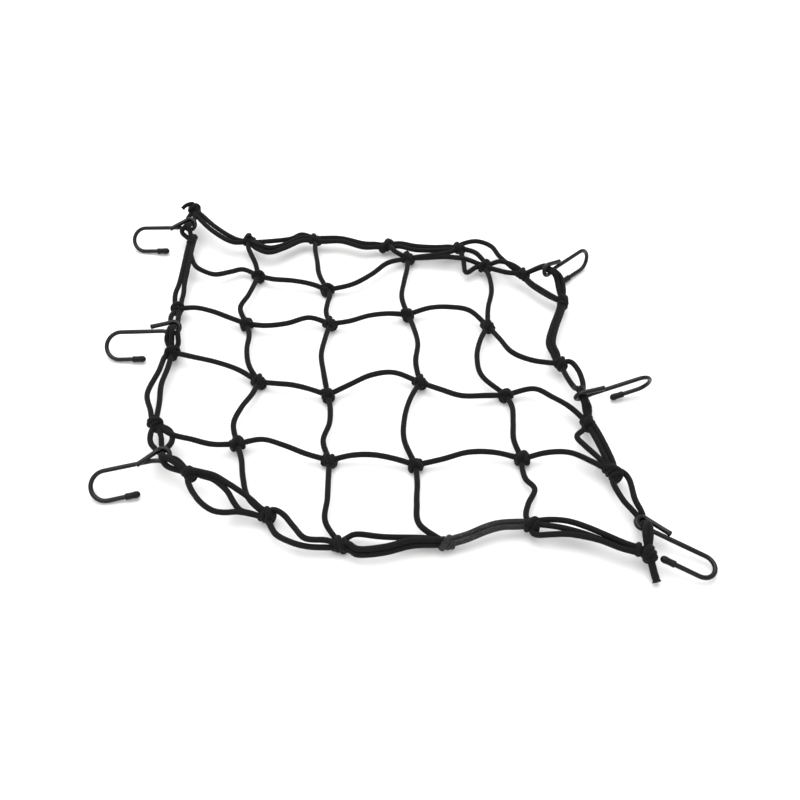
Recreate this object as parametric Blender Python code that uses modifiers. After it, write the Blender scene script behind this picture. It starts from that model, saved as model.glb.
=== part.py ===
"""Cargo net: knotted elastic cord with a doubled border and six wire hooks.

The net lies loose on a flat surface. +X is to the right, +Y away from the viewer
and +Z up; the origin is at the middle of the whole outline, on the surface.
Tables are in millimetres and degrees, and the model is built in metres.
"""

import math
from collections import namedtuple

import bmesh
import bpy
from mathutils import Matrix, Vector

MM = 0.001
MIDDLE = Vector((0.9, -12.6, 0.0))    # middle of the whole outline in the tables
WELD_DISTANCE = 0.01
SMOOTH_ANGLE = 50

# Cord. The mesh is tied at a pitch of 80 mm, four cords by four.
CORD_RADIUS = 2.65                    # to a cord's edges; its five flats lie 2.1 from its middle
CORD_SIDES = 5
RING_STEP = 17.6                      # greatest distance between two rings of a cord
BENT_RING_STEP = 9.0                  # the same on cords with a route of their own
FINE_PIECES = 8                       # steps between two stops before a cord is spaced out
MESH_CREST = 5.0                      # how far a mesh cord arches above its two knots
BORDER_CREST = 3.0
KNOT_LANE = 2.4                       # half the distance of two cords where they enter a knot
EYE_PASS = 7.5                        # how far a cord runs straight on either side of an eye
EYE_STEEPNESS = 1.7                   # how much steeper than 45 degrees it passes the eye's plane

# Knots: turned solids with one ridge for each turn of cord, lying on their side.
TURN_PITCH = 5.4
CREST_HALF_WIDTH = 0.9
VALLEY_DEPTH = 1.7
END_LENGTH = 3.6
KNOT_SIDES = 8
FIRST_KNOT = "K12"

# Hooks: coated wire, nearly 4 mm thick, and a soft cap pushed over the tip.
WIRE_RADIUS = 1.9
WIRE_SIDES = 8
EYE_RADIUS = 6.0                      # to the middle of the wire
EYE_DROP = 3.4                        # eye's middle below the shank's line
EYE_START = -72                       # degrees, where the short leg runs into the eye
EYE_END = -312                        # and where the eye runs into the shank
EYE_STEPS = 10
BEND_STEPS = 8
SHANK_START = 10.5
CAP_RADIUS = 3.05
CAP_LENGTH = 12.8
CAP_DOME = ((0.0, 0.0), (-0.4, 1.9), (-1.5, 2.8))    # height and radius, from the tip
CAP_TAPER = (1.2, 0.3)                # length and depth of the taper at its open end
CAP_HOLE_RADIUS = 2.4
CAP_WALL = 3.0                        # from the tip to the end of the hole
WIRE_END_GAP = 0.3
CAP_SIDES = 8

# x, y: middle of the knot. lift: from the surface to its flat underside.
# heading: which way its turns are stacked. ridge: half its height.
Knot = namedtuple("Knot", "x y lift heading turns ridge")
KNOTS = {
    # mesh, from the far side to the near one
    "K11": Knot(-130, 118, 1.0, -45, 2, 6.2),
    "K12": Knot(-58, 98, 0.0, 39, 2, 6.2),
    "K13": Knot(24, 144, 2.0, -25, 2, 6.2),
    "K14": Knot(103, 129, 4.0, 0, 2, 6.2),
    "K21": Knot(-135, 48, 1.0, 30, 2, 6.2),
    "K22": Knot(-53, 47, 2.0, -35, 2, 6.2),
    "K23": Knot(23, 60, 2.0, -80, 2, 6.2),
    "K24": Knot(101, 43, 3.0, -60, 2, 6.2),
    "K31": Knot(-116, -28, 0.0, -35, 2, 6.4),
    "K32": Knot(-51, -45, 1.0, -75, 2, 6.2),
    "K33": Knot(34, -30, 2.0, -45, 2, 6.2),
    "K34": Knot(113, -44, 0.0, 40, 2, 6.2),
    "K41": Knot(-128, -104, 3.0, 20, 2, 6.2),
    "K42": Knot(-46, -120, 0.0, -18, 2, 6.4),
    "K43": Knot(29, -125, 0.0, 15, 2, 6.2),
    "K44": Knot(122, -119, 1.0, 0, 2, 6.2),
    # left border
    "TL": Knot(-206, 210, 14.0, 0, 2, 5.8),
    "L1": Knot(-203, 163, 11.0, 85, 3, 5.0),
    "L2": Knot(-204, 65, 5.5, 80, 2, 6.0),
    "L3": Knot(-201, 6, 4.0, 75, 2, 7.0),
    "L4": Knot(-201, -88, 11.0, -45, 2, 6.4),
    # near border
    "B0": Knot(-163, -143, 12.0, -50, 2, 6.2),
    "B1": Knot(-95, -180, 2.5, -25, 2, 6.5),
    "B2": Knot(-33, -207, 0.0, -20, 2, 7.0),
    "B3": Knot(53, -206, 2.0, 10, 2, 6.2),
    "B4": Knot(124, -190, 3.5, -10, 2, 6.5),
    "B5": Knot(214.5, -219.5, 7.0, -75, 2, 6.8),
    "B6": Knot(206.5, -216.5, 9.0, -40, 1, 5.2),
    # far border
    "T1": Knot(-143, 165, 8.5, 0, 2, 5.6),
    "T2": Knot(-74, 170, 5.5, -20, 2, 5.6),
    "T3": Knot(2, 163, 3.0, 30, 3, 5.8),
    "T4": Knot(77, 155, 6.0, -30, 2, 6.0),
    "T5": Knot(140, 110, 10.5, -45, 2, 5.6),
    # right border
    "R1": Knot(177, 73, 7.4, 80, 3, 5.6),
    "R2": Knot(165.5, -11, 7.0, -60, 2, 6.0),
    "R3": Knot(183, -84, 6.5, -70, 2, 6.5),
    "R4": Knot(197, -139, 7.5, -60, 3, 6.5),
}

# x, y, z: where the shank's line starts, over the eye. reach: from there to the far
# side of the bend. width: between the two long sides. tip: where the cap ends.
# leg, leg_side, leg_rise: the short leg's end along the shank, to its side and above it.
Hook = namedtuple("Hook", "x y z heading pitch roll reach width tip leg leg_side leg_rise")
HOOKS = {
    "hook_1": Hook(-206, 176.5, 22.6, 175, -5, -40, 60.4, 24.5, 22, 19, 2.2, 5.4),
    "hook_2": Hook(-201, 25.5, 20.2, 178, -4, -30, 65, 27, 26, 22, -4.6, 0),
    "hook_3": Hook(-187, -128, 19.6, 191, -5, -28, 64.5, 26, 24, 22, 1.8, 5.4),
    "hook_4": Hook(164, 102, 26.3, 43, -2, -102, 60, 22, 19, 17, -4.4, 0),
    "hook_5": Hook(179.3, -58.5, 19.9, 14, 11, -76, 66, 23, 28.5, 21, -4.3, 0),
    "hook_6": Hook(212.9, -194, 15, -26, -8, 178, 65.7, 21, 22.5, 23.2, -3.6, -2.2),
}

# Mesh cords. side_1 to side_3: how far the cord strays to the left of the straight
# line from start to end, at a quarter, a half and three quarters of the way.
MeshCord = namedtuple("MeshCord", "start end side_1 side_2 side_3")
MESH_CORDS = [MeshCord(*row) for row in (
    # across
    ("K11", "K12", -4, -2, 0),
    ("K12", "K13", -9, -7, 1),
    ("K13", "K14", 0, 3, 4),
    ("L2", "K21", 3, 2, 0),
    ("K21", "K22", -6, -4, 5),
    ("K22", "K23", -3, 0, 1),
    ("K23", "K24", 10, 14, 14),
    ("K24", "R2", -10, -19, -15),
    ("L3", "K31", 0, 2, 3),
    ("K31", "K32", -1, 0, 0),
    ("K32", "K33", 6, 13, 13),
    ("K33", "K34", -8, -13, -8),
    ("K34", "R3", 15, 12, 8),
    ("L4", "K41", -9, -10, -9),
    ("K41", "K42", 7, 4, 0),
    ("K42", "K43", 4, 5, 3),
    ("K43", "K44", 2, 7, 6),
    ("K44", "R4", 8, 11, 6),
    # along
    ("T1", "K11", -3, -2, 0),
    ("T2", "K12", -3, -4, -5),
    ("T3", "K13", -2, -5, -4),
    ("T4", "K13", 7, 8, 5),
    ("K11", "K21", -1, -4, -9),
    ("K12", "K22", 2, -1, -3),
    ("K13", "K23", -1, -4, -6),
    ("K14", "K24", 4, 5, 1),
    ("K21", "K31", 0, -5, -6),
    ("K22", "K32", -4, -7, -4),
    ("K23", "K33", 3, 4, -1),
    ("K24", "K34", -12, -19, -18),
    ("K31", "K41", -1, -6, -8),
    ("K32", "K42", 2, 1, -5),
    ("K33", "K43", -8, -12, -11),
    ("K34", "K44", 2, -1, -4),
    ("K41", "B1", -2, -7, -9),
    ("K42", "B2", -3, -6, -10),
    ("K43", "B3", -5, -12, -16),
)]

# Border cords between two knots, as (along, side, rise): the share of the way, how far
# to the left of the straight line, and how far above it.
BorderCord = namedtuple("BorderCord", "start end stops")
BORDER_CORDS = [BorderCord(*row) for row in (
    # left
    ("L1", "L2", ((0.21, -2.3, 0), (0.49, -2.4, 0), (0.68, -3.2, 0), (0.80, -5, 0),
                  (0.90, -4.5, 0))),
    ("L1", "L2", ((0.21, 2.3, 0), (0.49, 2.4, 0), (0.68, 2.2, 0), (0.80, 3, 0), (0.90, 2.4, 0))),
    ("L3", "L4", ((0.09, -6, 0), (0.30, -7.5, 0), (0.62, -12.8, 0), (0.84, -6.5, 0))),
    ("L3", "L4", ((0.25, 0, 0), (0.50, -2, 0), (0.75, 0, 0))),
    # near
    ("B0", "B1", ((0.06, -8, 0), (0.17, -14, 0), (0.33, -19.5, 0), (0.49, -21, 0),
                  (0.61, -17.5, 0), (0.73, -10.5, 0), (0.88, -5.3, 0))),
    ("B0", "B1", ((0.15, 5, 3), (0.28, 7, 3), (0.45, 6.2, 3), (0.60, 5.3, 3), (0.76, 4, 3),
                  (0.91, 1.6, 3))),
    ("B0", "B1", ((0.14, 2.8, 0), (0.26, 4.5, 0), (0.38, 3.4, 0), (0.50, 0.6, 0),
                  (0.62, -4.8, 0), (0.74, -8.3, 0), (0.86, -5.5, 0))),
    ("B1", "B2", ((0.06, 6, 3), (0.20, 5, 1), (0.40, -3, 2), (0.61, -10, 4), (0.84, -4, 4))),
    ("B1", "B2", ((0.08, -6, 0), (0.24, -14, 0), (0.46, -16, 0), (0.66, -14, 0), (0.86, -8, 0))),
    ("B2", "B3", ((0.06, 6, 0), (0.16, 9, 0), (0.42, 5, 0), (0.83, 4, 0))),
    ("B2", "B3", ((0.09, -6, 0), (0.18, -11, 0), (0.42, -10, 0), (0.67, -4, 0), (0.91, -2.4, 0))),
    ("B2", "B3", ((0.08, -2, 4), (0.18, -8, 4), (0.42, -7, 4), (0.67, -1, 4), (0.91, 0, 4))),
    ("B3", "B4", ((0.09, 2.4, 0), (0.26, 3, 0), (0.47, 6, 0), (0.65, 7, 0), (0.88, 5, 0))),
    ("B3", "B4", ((0.07, -2.4, 0), (0.25, -2, 0), (0.48, 1, 0), (0.66, 2, 0), (0.86, 0, 0))),
    ("B4", "B6", ((0.05, 5.7, 0), (0.17, 9, 0), (0.32, 10.5, 0), (0.48, 9, 0), (0.68, 5, 1),
                  (0.88, 2, 1))),
    ("B4", "B6", ((0.08, 1.4, 1), (0.23, 2.9, 0), (0.39, 3.1, -1), (0.55, 3.3, -3),
                  (0.82, 0.4, -3))),
    ("B4", "B6", ((0.03, -7.6, 0), (0.09, -8.4, 0), (0.20, -5.6, 0), (0.34, -2.3, 0),
                  (0.51, -1, 0), (0.66, -1.1, 0), (0.84, -3, 0))),
    # far
    ("TL", "T1", ((0.13, -2, 0), (0.49, -8.5, 0), (0.82, -8.5, 0))),
    ("TL", "T1", ((0.17, -8, 0), (0.51, -15, 0), (0.84, -14, 0))),
    ("T1", "T2", ((0.29, -4, 0), (0.62, -1, 0), (0.80, 7, 0))),
    ("T1", "T2", ((0.12, -14, 0), (0.31, -22, 0), (0.53, -16, 0), (0.80, -3, 0))),
    ("T1", "T2", ((0.12, -10, 3), (0.32, -17, 2), (0.54, -10, 0), (0.80, 2, 0))),
    ("T2", "T3", ((0.10, 3, 0), (0.36, 3, 0), (0.67, -2, 0), (0.85, 0, 0))),
    ("T2", "T3", ((0.11, -3, 0), (0.37, -2, 0), (0.67, -8, 0), (0.85, -5, 0))),
    ("T3", "T4", ((0.18, 3, 0), (0.41, -2, 0), (0.68, -2, 0), (0.87, 1, 0))),
    ("T3", "T4", ((0.18, -2, 0), (0.41, -8, 0), (0.69, -7, 0), (0.88, -3.6, 0))),
    ("T4", "K14", ((0.19, 3, 0), (0.56, 4, 2))),
    ("K14", "T5", ((0.13, 5, 0), (0.32, 10, 0), (0.69, 8, 0))),
    ("K14", "T5", ((0.19, -3, 0), (0.60, -5, 0), (0.86, -2, 0))),
    # right
    ("R1", "R2", ((0.17, -4, 0), (0.51, -10, 0), (0.73, -12, 0), (0.88, -7, 0))),
    ("R1", "R2", ((0.16, 0, 0), (0.47, -5.2, 0), (0.72, -7.4, 0), (0.88, -2.4, 0))),
    ("R3", "R4", ((0.11, -7, 0), (0.23, -16, 0), (0.45, -13, 0), (0.74, -6, 0))),
    ("R3", "R4", ((0.17, -1, 0), (0.44, -1, 0), (0.75, -1, 0))),
    ("R3", "R4", ((0.14, 3, 2), (0.42, 4, 0), (0.80, 4, 0))),
)]

# Cords with a route of their own. A stop is a knot, a place (x, y, z), or a pass through
# a hook's eye (hook, how far to the left of the eye's middle, how far above it). The
# cords go under the far side of each eye and over the near one.
LONG_CORDS = (
    # left border, through the eyes of the three hooks there
    ("TL", (-211, 196, 19), ("hook_1", -0.9, 0), (-213.5, 170, 21.5), "L1"),
    ("TL", (-204, 196, 20), ("hook_1", 0.9, 0), (-204, 167, 22), "L1"),
    ("L2", (-208, 51, 15), (-206.5, 40, 15), ("hook_2", -0.9, 0), (-206.5, 16, 17), "L3"),
    ("L2", (-201, 51, 15), (-200.5, 40, 15), ("hook_2", 0.8, 0), (-201.5, 14, 19), "L3"),
    ((-196, 20.5, 24), (-195.5, 16.5, 21), (-195.5, 11.5, 16), "L3"),
    ("L4", (-203, -99, 18), (-201.5, -109, 16), ("hook_3", -0.6, -0.2), (-182, -137, 20), "B0"),
    ("L4", (-194, -101, 18), (-192, -111, 16), ("hook_3", 0.3, -0.2), (-174.5, -131.5, 22), "B0"),
    ("L4", (-189, -94, 18), (-184, -101, 18), (-184, -109.5, 17), ("hook_3", 0, 0.4),
     (-178, -134.5, 25), "B0"),
    # first mesh cord across, kinked where it leaves the border
    ((-203, 147, 15), (-197, 130, 14), (-190, 122, 13), (-174, 115, 12), (-159, 121, 10),
     (-146, 127, 8), "K11"),
    # last mesh cord along, kinked on its way to the border
    ("K44", (121, -128, 8), (123, -141, 8), (130, -152, 8), (123, -168, 9), (120, -181, 10), "B4"),
    # loops at the far right corner
    ("T4", (81, 139, 12), (83, 119, 11), (94, 128, 10), "K14"),
    ("T4", (80, 162, 12), (96, 167, 12), (111, 159, 12), (120, 141, 12), (139, 114, 12),
     (149, 98, 12), (164, 83, 12), "R1"),
    ("T5", (149, 96, 16), (164, 81, 16), "R1"),
    ("T5", ("hook_4", 0.9, 0), (176.5, 96.5, 24), (178.5, 85, 18), "R1"),
    ("T5", ("hook_4", -0.9, 0), (172, 94.5, 24), (174, 84, 18), "R1"),
    # right border
    ("R2", (170.2, -29, 14), (175, -42, 15), ("hook_5", -0.9, 0), (181, -71, 18), "R3"),
    ("R2", (175, -9, 14), (181, -20, 15), (183.5, -33, 15), (183, -44, 15.5), ("hook_5", 0.9, 0),
     (185, -71, 18), "R3"),
    ("R4", (196, -150, 14), (202, -166.5, 13), (208, -175.5, 12), (212.5, -181.5, 10),
     ("hook_6", -0.3, 0), (212.5, -205, 22.5), "B5"),
    ("R4", (204, -137, 14), (210, -146, 14), (212, -165.5, 13), (215.5, -176.5, 12),
     (217, -182, 9.2), ("hook_6", 0.2, 0), (217, -205, 22.5), "B5"),
    # cut ends
    ("TL", (-207, 213, 25), (-211, 211.6, 26), (-215, 209, 25.5), (-217.6, 206.5, 24)),
    ("T1", (-143, 166, 22)),
    ("B5", (217, -227, 9), (218, -233, 7), (219.5, -240, 4.6)),
)


# Scene

def clear_scene():
    for obj in list(bpy.data.objects):
        bpy.data.objects.remove(obj, do_unlink=True)


def new_collection(name):
    collection = bpy.data.collections.new(name)
    bpy.context.scene.collection.children.link(collection)
    return collection


def material(name, colour, roughness, metallic=0.0):
    made = bpy.data.materials.new(name)
    made.use_nodes = True
    shader = made.node_tree.nodes["Principled BSDF"]
    shader.inputs["Base Color"].default_value = (*colour, 1.0)
    shader.inputs["Roughness"].default_value = roughness
    shader.inputs["Metallic"].default_value = metallic
    return made


# Shapes

def smooth_route(points, step):
    """Evenly spaced points, no further apart than step, on one smooth curve."""
    ends = [2 * points[0] - points[1], *points, 2 * points[-1] - points[-2]]
    fine = []
    for before, start, end, after in zip(ends, ends[1:], ends[2:], ends[3:]):
        for piece in range(FINE_PIECES):
            t = piece / FINE_PIECES
            fine.append(0.5 * (2 * start + (end - before) * t
                               + (2 * before - 5 * start + 4 * end - after) * t ** 2
                               + (3 * start - 3 * end + after - before) * t ** 3))
    fine.append(points[-1])
    travelled = [0.0]
    for start, end in zip(fine, fine[1:]):
        travelled.append(travelled[-1] + (end - start).length)
    rings = max(2, math.ceil(travelled[-1] / step))
    route = []
    for ring in range(rings + 1):
        wanted = travelled[-1] * ring / rings
        index = max(1, next(i for i, length in enumerate(travelled) if length >= wanted - 1e-6))
        share = (wanted - travelled[index - 1]) / (travelled[index] - travelled[index - 1])
        route.append(fine[index - 1].lerp(fine[index], share))
    return route


def poly_curve(name, points, collection):
    """A curve object with straight runs from point to point, given in metres."""
    curve = bpy.data.curves.new(name, "CURVE")
    curve.dimensions = "3D"
    spline = curve.splines.new("POLY")
    spline.points.add(len(points) - 1)
    for point, place in zip(spline.points, points):
        point.co = (*place, 1.0)
    drawn = bpy.data.objects.new(name, curve)
    collection.objects.link(drawn)
    return drawn


def ring(name, radius, sides, collection):
    """A flat ring with a few sides, to draw a bar's section."""
    angles = [math.tau * side / sides for side in range(sides)]
    drawn = poly_curve(name, [(radius * MM * math.cos(a), radius * MM * math.sin(a), 0.0)
                              for a in angles], collection)
    drawn.data.splines[0].use_cyclic_u = True
    return drawn


def tube(name, points, section, collection):
    """A bar of that section along the points, in millimetres, as a closed mesh."""
    drawn = poly_curve(name + "_curve", [(point - MIDDLE) * MM for point in points], collection)
    drawn.data.bevel_mode = "OBJECT"
    drawn.data.bevel_object = section
    drawn.data.use_fill_caps = True
    bpy.context.view_layer.update()
    mesh = bpy.data.meshes.new_from_object(drawn.evaluated_get(bpy.context.evaluated_depsgraph_get()))
    bpy.data.objects.remove(drawn, do_unlink=True)
    weld(mesh)
    return mesh_object(name, mesh, collection)


def weld(mesh):
    body = bmesh.new()
    body.from_mesh(mesh)
    bmesh.ops.remove_doubles(body, verts=body.verts, dist=WELD_DISTANCE * MM)
    bmesh.ops.recalc_face_normals(body, faces=body.faces)
    body.to_mesh(mesh)
    body.free()


def mesh_object(name, mesh, collection):
    mesh.name = name
    mesh.shade_smooth()
    mesh.set_sharp_from_angle(angle=math.radians(SMOOTH_ANGLE))
    made = bpy.data.objects.new(name, mesh)
    collection.objects.link(made)
    return made


def turned(name, profile, sides, collection):
    """A profile of (height, radius) in millimetres, top to bottom, turned about local Z."""
    half_side = math.pi / sides
    mesh = bpy.data.meshes.new(name)
    outline = [(radius * MM * math.cos(half_side), radius * MM * math.sin(half_side), height * MM)
               for height, radius in profile]
    mesh.from_pydata(outline, [(i, i + 1) for i in range(len(outline) - 1)], [])
    made = bpy.data.objects.new(name, mesh)
    collection.objects.link(made)
    screw = made.modifiers.new("turn", "SCREW")
    screw.steps = screw.render_steps = sides
    screw.use_merge_vertices = True
    screw.merge_threshold = WELD_DISTANCE * MM
    return made


# Knots and cords

def place(name):
    knot = KNOTS[name]
    return Vector((knot.x, knot.y, knot.lift + knot.ridge))


def knot_profile(turns, ridge, flat):
    """Height and radius down the outer side: a crest for each turn, flat or sharp."""
    crest = ridge / math.cos(math.pi / KNOT_SIDES)
    first = (turns - 1) / 2 * TURN_PITCH
    end = first + END_LENGTH
    profile = [(end, 0.0)]
    for turn in range(turns):
        middle = first - turn * TURN_PITCH
        profile.append((middle + flat, crest))
        if flat:
            profile.append((middle - flat, crest))
        if turn < turns - 1:
            profile.append((middle - TURN_PITCH / 2, crest - VALLEY_DEPTH))
    return profile + [(-end, 0.0)]


def knot_solid(name, collection):
    """A knot lying on its side; a knot that touches the surface has flat crests."""
    knot = KNOTS[name]
    flat = CREST_HALF_WIDTH if knot.lift == 0 else 0
    solid = turned("knot_" + name, knot_profile(knot.turns, knot.ridge, flat), KNOT_SIDES, collection)
    heading = math.radians(knot.heading)
    stacked = Vector((math.cos(heading), math.sin(heading), 0.0))
    across = Vector((-math.sin(heading), math.cos(heading), 0.0))
    solid.matrix_world = (Matrix.Translation((place(name) - MIDDLE) * MM)
                          @ Matrix((across, Vector((0, 0, 1)), stacked)).transposed().to_4x4())
    return solid


def between(start, end, stops, crest, lane):
    """Places for stops of (along, side, rise) on the way from one knot to another."""
    left = Vector((start.y - end.y, end.x - start.x, 0.0)).normalized()

    def stop_place(along, side, rise):
        arch = crest * 4 * along * (1 - along)
        return start.lerp(end, along) + left * side + Vector((0, 0, rise + arch))

    first, last = (max(-lane, min(lane, stops[i][1])) for i in (0, -1))
    return [stop_place(0, first, stops[0][2]), *(stop_place(*stop) for stop in stops),
            stop_place(1, last, stops[-1][2])]


def eye_pass(hook_name, side, rise, heading_to):
    """Three places straight through a hook's eye, aslant to its plane."""
    hook = HOOKS[hook_name]
    normal = hook_axes(hook)[2]
    level = Vector((heading_to.x, heading_to.y, 0.0)).normalized()
    if normal.dot(level + Vector((0, 0, 1))) < 0:
        normal = -normal
    onward = (normal * EYE_STEEPNESS + level).normalized()
    left = normal.cross(level).normalized()
    if left.dot(Vector((-level.y, level.x, 0.0))) < 0:
        left = -left
    middle = hook_place(hook, 0.0, -EYE_DROP) + left * side + onward.cross(left) * rise
    return [middle + onward * EYE_PASS * share for share in (-1, 0, 1)]


def long_route(stops):
    named = [place(stop) for stop in stops if isinstance(stop, str)]
    heading_to = named[-1] - named[0]
    route = []
    for stop in stops:
        if isinstance(stop, str):
            route.append(place(stop))
        elif isinstance(stop[0], str):
            route += eye_pass(*stop, heading_to)
        else:
            route.append(Vector(stop))
    return route


def cord_routes():
    """Every cord of the net as evenly spaced places in millimetres."""
    routes = []
    for cord in MESH_CORDS:
        stops = ((0.25, cord.side_1, 0), (0.50, cord.side_2, 0), (0.75, cord.side_3, 0))
        route = between(place(cord.start), place(cord.end), stops, MESH_CREST, 0)
        routes.append(smooth_route(route, RING_STEP))
    for cord in BORDER_CORDS:
        route = between(place(cord.start), place(cord.end), cord.stops, BORDER_CREST, KNOT_LANE)
        routes.append(smooth_route(route, RING_STEP))
    for stops in LONG_CORDS:
        routes.append(smooth_route(long_route(stops), BENT_RING_STEP))
    return routes


def knotted_net(parts, guides, finish):
    """All cords and knots fused into one solid, which grows from the first knot."""
    net = knot_solid(FIRST_KNOT, parts)
    net.name = "net"
    for name in KNOTS:
        if name != FIRST_KNOT:
            knot_solid(name, guides)
    section = ring("cord_section", CORD_RADIUS, CORD_SIDES, guides)
    for number, route in enumerate(cord_routes(), start=1):
        tube("cord_%02d" % number, route, section, guides)
    bpy.data.objects.remove(section, do_unlink=True)
    for guide in guides.objects:
        guide.hide_render = True
        guide.display_type = "WIRE"
    union = net.modifiers.new("tie together", "BOOLEAN")
    union.operation = "UNION"
    union.operand_type = "COLLECTION"
    union.collection = guides
    union.solver = "EXACT"
    net.data.materials.append(finish)


# Hooks

def hook_axes(hook):
    """Along the shank, towards the tip's side, and straight out of the hook's plane."""
    heading, pitch, roll = (math.radians(angle) for angle in (hook.heading, hook.pitch, hook.roll))
    along = Vector((math.cos(pitch) * math.cos(heading), math.cos(pitch) * math.sin(heading), math.sin(pitch)))
    level = Vector((-math.sin(heading), math.cos(heading), 0.0))
    upright = along.cross(level)
    across = math.cos(roll) * level + math.sin(roll) * upright
    return along, across, along.cross(across)


def hook_place(hook, u, v, rise=0.0):
    along, across, normal = hook_axes(hook)
    return Vector((hook.x, hook.y, hook.z)) + along * u + across * v + normal * rise


def arc(middle_u, middle_v, radius, first, last, steps):
    """Places (u, v) on an arc from one angle to another, in degrees."""
    angles = [math.radians(first + (last - first) * step / steps) for step in range(steps + 1)]
    return [(middle_u + radius * math.cos(a), middle_v + radius * math.sin(a)) for a in angles]


def hook_outline(hook):
    """The bent wire from its short leg over the eye, shank and bend to the tip's side."""
    bend = hook.width / 2
    wire_end = hook.tip + CAP_WALL + WIRE_END_GAP
    return [(hook.leg, hook.leg_side, hook.leg_rise),
            *arc(0, -EYE_DROP, EYE_RADIUS, EYE_START, EYE_END, EYE_STEPS),
            (SHANK_START, 0.0),
            *arc(hook.reach - bend, bend, bend, -90, 90, BEND_STEPS),
            (wire_end, hook.width)]


def cap_profile():
    """Height and radius from the tip down the outside and up the hole for the wire."""
    taper, depth = CAP_TAPER
    sleeve = ((-CAP_WALL, CAP_RADIUS), (taper - CAP_LENGTH, CAP_RADIUS), (-CAP_LENGTH, CAP_RADIUS - depth))
    hole = ((-CAP_LENGTH, CAP_HOLE_RADIUS), (-CAP_WALL, CAP_HOLE_RADIUS), (-CAP_WALL, 0.0))
    return CAP_DOME + sleeve + hole


def hook_with_cap(name, section, parts, wire_finish, cap_finish):
    hook = HOOKS[name]
    along, across, normal = hook_axes(hook)
    wire = tube(name, [hook_place(hook, *stop) for stop in hook_outline(hook)], section, parts)
    wire.data.materials.append(wire_finish)
    cap = turned(name + "_cap", cap_profile(), CAP_SIDES, parts)
    tip = hook_place(hook, hook.tip, hook.width)
    cap.matrix_world = (Matrix.Translation((tip - MIDDLE) * MM)
                        @ Matrix((normal, across, -along)).transposed().to_4x4())
    cap.data.materials.append(cap_finish)


def main():
    clear_scene()
    parts = new_collection("Cargo net")
    guides = new_collection("Cords and knots")
    knotted_net(parts, guides, material("elastic cord", (0.012, 0.012, 0.013), 0.75))
    wire_finish = material("coated wire", (0.010, 0.010, 0.011), 0.35)
    cap_finish = material("soft cap", (0.014, 0.014, 0.015), 0.55)
    section = ring("wire_section", WIRE_RADIUS, WIRE_SIDES, parts)
    for name in HOOKS:
        hook_with_cap(name, section, parts, wire_finish, cap_finish)
    bpy.data.objects.remove(section, do_unlink=True)


main()
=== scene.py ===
# %% [markdown]
# # A knotted cargo net with six wire hooks
#
# The real thing is one elastic cord net, tied by hand, with a border of two and three
# cords and a wire hook hung in each corner and on both sides. It lies loose on a table.
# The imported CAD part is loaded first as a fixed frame. Every piece made here lies in the
# same place as its CAD solid, so the net that MuJoCo bumps into is the one that is seen.

# %% The frame
import math
from collections import namedtuple

import bmesh
import bpy
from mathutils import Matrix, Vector, noise


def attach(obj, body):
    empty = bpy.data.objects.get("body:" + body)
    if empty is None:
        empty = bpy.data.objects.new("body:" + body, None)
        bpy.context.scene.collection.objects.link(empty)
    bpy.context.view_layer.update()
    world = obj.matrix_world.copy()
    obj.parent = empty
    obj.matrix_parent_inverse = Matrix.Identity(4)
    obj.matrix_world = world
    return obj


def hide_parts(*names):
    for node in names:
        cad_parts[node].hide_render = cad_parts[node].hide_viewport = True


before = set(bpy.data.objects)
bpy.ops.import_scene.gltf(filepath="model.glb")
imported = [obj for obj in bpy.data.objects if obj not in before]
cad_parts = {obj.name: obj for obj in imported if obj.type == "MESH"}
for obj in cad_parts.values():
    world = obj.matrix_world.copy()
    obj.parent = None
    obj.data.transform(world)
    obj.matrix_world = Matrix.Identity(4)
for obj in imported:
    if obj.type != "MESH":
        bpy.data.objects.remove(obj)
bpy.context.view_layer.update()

# %% [markdown]
# ## Sizes
#
# A maker thinks of this net in a few sizes: the cord's thickness, how high it arches, the
# turns of a knot and the hook's wire. They are named here in millimetres and turned into
# metres only when a mesh is made. The cord is measured at the braid's crests.

# %% Sizes, in millimetres
MM = 0.001
MIDDLE = Vector((0.9, -12.6, 0.0))  # middle of the whole outline in the tables

CORD_RADIUS = 2.53
CORD_SIDES = 16
CORD_STEP = 2.2           # between two rings of a cord
THICKNESS_CHANGE = 0.07   # thicker or thinner, at the noise's full height
THICKNESS_REACH = 22.0    # how long such a stretch of cord is
SEED_APART = 7.3          # how far apart two cords lie in the noise for that
MESH_CREST = 5.0          # how far a mesh cord arches above its two knots
BORDER_CREST = 3.0        # and a border cord
KNOT_LANE = 2.4           # half the distance of two cords where they enter a knot
EYE_PASS = 7.5            # how far a cord runs straight on either side of an eye
EYE_STEEPNESS = 1.7       # how far it leans from level to the eye's axis there
EYE_SPREAD = 1.6          # how much further apart the squeezed cords lie in an eye
EYE_SLIDE = 0.7           # how far they have slid from the eye towards the shank
EYE_SQUEEZE = 0.08        # how much thinner a cord is in the middle of an eye
EYE_SQUEEZE_REACH = 6.0   # how far from there it is nearly round again
TURN_PITCH = 4.5          # between two turns of cord in a knot

WIRE_RADIUS = 2.05
WIRE_SIDES = 18
EYE_RADIUS = 5.7          # to the middle of the wire
EYE_DROP = 3.2            # eye's middle below the shank's line
EYE_START = -72           # degrees, where the short leg runs into the eye
EYE_END = -312            # and where the eye runs into the shank
SHANK_START = 10.5        # from the eye's middle to the straight shank
EYE_COAT = 1.08           # how much thicker the coat makes the short leg
CAP_WALL = 3.0            # from a cap's tip to the end of the wire in it

# %% [markdown]
# ## Where everything lies
#
# Cloth and cord have no straight edges to measure, so a net is set down knot by knot. The
# tables are the same as in the part's source: each knot with the way its turns are
# stacked, each hook with its tilt, and each cord with how far it strays from a straight
# line. A cord that takes a route of its own names its stops one by one.

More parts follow.
